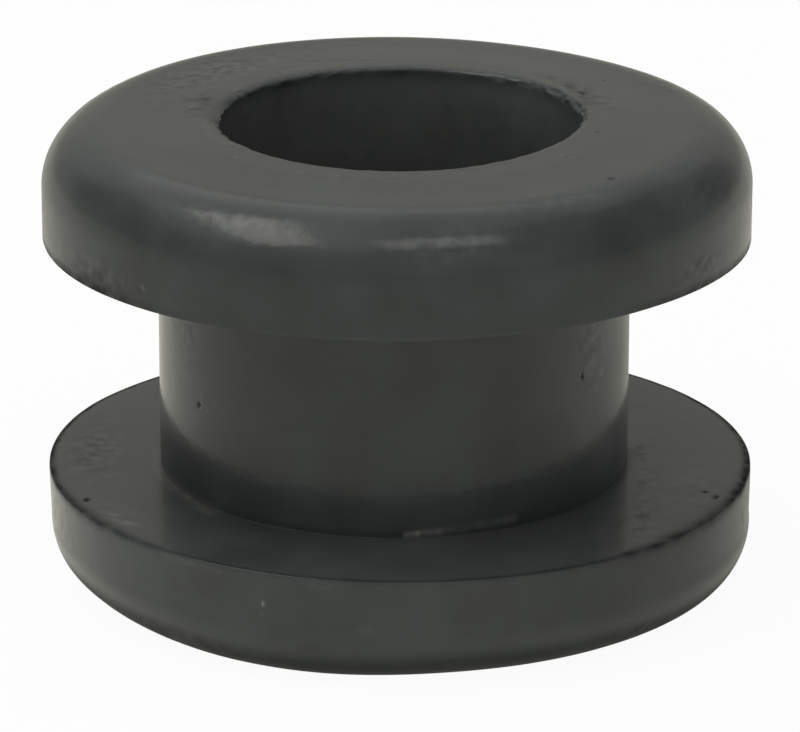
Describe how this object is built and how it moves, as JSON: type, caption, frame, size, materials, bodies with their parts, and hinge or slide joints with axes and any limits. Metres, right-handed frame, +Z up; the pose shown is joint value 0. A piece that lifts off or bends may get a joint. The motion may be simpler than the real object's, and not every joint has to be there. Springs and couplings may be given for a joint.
{
  "type": "rubber grommet",
  "caption": "Moulded black rubber panel grommet: a round bushing with a plain through bore and a flange at each end, rounded over outside, with a square groove between for the panel's edge.",
  "frame": {"origin": "on the bore's axis, in the plane that the lower flange stands on", "axes": "+Z up along the bore; the part is round, so X and Y are any two directions across it"},
  "size_m": [0.0286, 0.0286, 0.019],
  "materials": {
    "rubber": "moulded, satin, with mould marks and flash"
  },
  "bodies": {
    "root": {"grommet": "rubber"}
  },
  "joints": []
}
